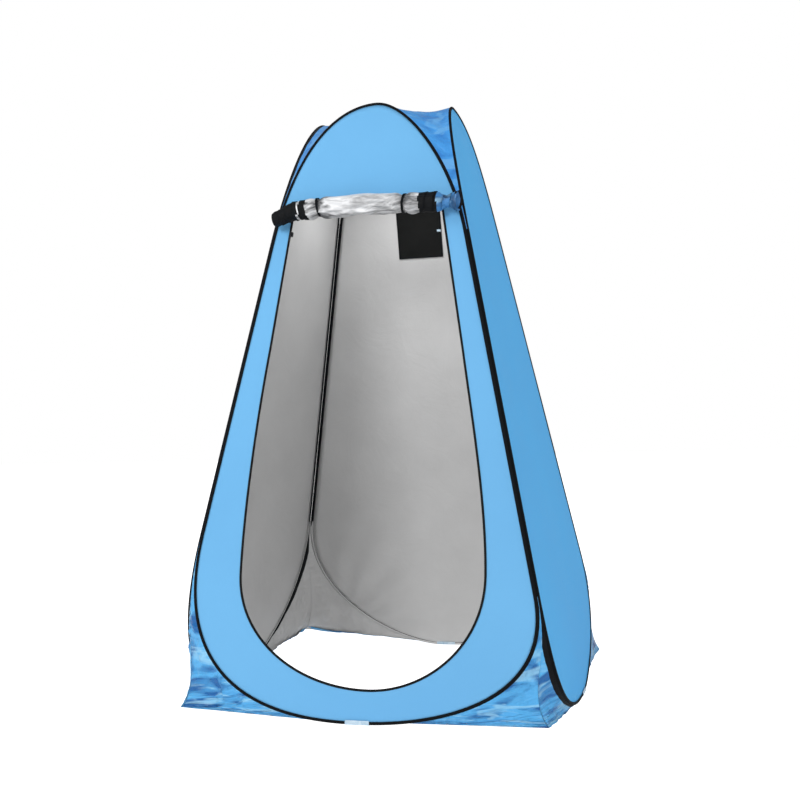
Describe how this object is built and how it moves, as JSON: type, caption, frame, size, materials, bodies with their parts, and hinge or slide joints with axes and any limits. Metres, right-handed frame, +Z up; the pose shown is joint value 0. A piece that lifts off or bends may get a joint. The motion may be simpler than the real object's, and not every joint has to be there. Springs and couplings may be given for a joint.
{
  "type": "privacy shower tent",
  "caption": "Pop-up privacy shower tent: tapering fabric panels on sprung egg-shaped hoops, a rolled-up zipped door flap, corner skirts and an inner pocket.",
  "frame": {"origin": "on the ground, at the middle of the tent's footprint", "axes": "+Z up the tent; the door faces -Y; +X is the right-hand side of someone facing the door"},
  "size_m": [1.2294, 1.2294, 1.9017],
  "materials": {
    "hoop_steel": "drawn spring wire",
    "binding_tape": "woven tape",
    "panel_fabric": "matt polyester outside, silver coating inside",
    "skirt_fabric": "crinkled coated polyester",
    "roof_fabric": "crinkled coated polyester",
    "lining_fabric": "silver coated, creased",
    "patch_fabric": "smooth coated",
    "zip_metal": "satin",
    "pocket_mesh": "plain weave"
  },
  "bodies": {
    "front": {"front_hoop_wire": "hoop_steel", "front_hoop_ferrule": "hoop_steel", "front_binding": "binding_tape", "front_panel": "panel_fabric", "hem_patch_front": "patch_fabric", "door_zip_tape": "binding_tape", "door_flap_roll": "lining_fabric", "door_tie_left": "binding_tape", "door_tie_right": "binding_tape", "roof_canopy": "roof_fabric", "skirt_front_right": "skirt_fabric", "skirt_front_left": "skirt_fabric"},
    "right": {"right_hoop_wire": "hoop_steel", "right_hoop_ferrule": "hoop_steel", "right_binding": "binding_tape", "right_panel": "panel_fabric", "hem_patch_right": "patch_fabric", "skirt_back_right": "skirt_fabric"},
    "back": {"back_hoop_wire": "hoop_steel", "back_hoop_ferrule": "hoop_steel", "back_binding": "binding_tape", "back_panel": "panel_fabric", "hem_patch_back": "patch_fabric", "skirt_back_left_rear": "skirt_fabric", "storage_pocket": "pocket_mesh", "pocket_tag": "patch_fabric"},
    "left": {"left_hoop_wire": "hoop_steel", "left_hoop_ferrule": "hoop_steel", "left_binding": "binding_tape", "left_panel": "panel_fabric", "hem_patch_left": "patch_fabric", "skirt_back_left_side": "skirt_fabric"},
    "zip_slider": {"zip_slider": "zip_metal"},
    "zip_pull": {"zip_pull": "zip_metal"}
  },
  "joints": [
    {"name": "fold_front_right", "type": "hinge", "parent": "front", "child": "right", "pos_m": [0.60674, -0.60674, 0], "axis": [-0.192, 0.192, 0.9624], "range_deg": [0, 70], "stiffness_Nm_per_rad": 6, "deforming": ["roof_canopy", "skirt_front_right", "skirt_back_right", "skirt_back_left_rear", "skirt_back_left_side", "skirt_front_left"]},
    {"name": "fold_back_right", "type": "hinge", "parent": "right", "child": "back", "pos_m": [0.60674, 0.60674, 0], "axis": [-0.192, -0.192, 0.9624], "range_deg": [-69, 0]},
    {"name": "fold_front_left", "type": "hinge", "parent": "front", "child": "left", "pos_m": [-0.60674, -0.60674, 0], "axis": [0.192, 0.192, 0.9624], "range_deg": [0, 67]},
    {"name": "zip_travel", "type": "slide", "parent": "front", "child": "zip_slider", "axis": [-0.1255, -0.1941, -0.9729], "range_m": [0, 0.37]},
    {"name": "zip_pull_swing", "type": "hinge", "parent": "zip_slider", "child": "zip_pull", "pos_m": [-0.25206, -0.3233, 1.47205], "axis": [-0.9921, 0.0245, 0.1231], "range_deg": [0, 150]}
  ],
  "couplings": [
    {"joint": "fold_back_right", "follows": "fold_front_right", "ratio": -0.985},
    {"joint": "fold_front_left", "follows": "fold_front_right", "ratio": 0.955}
  ]
}
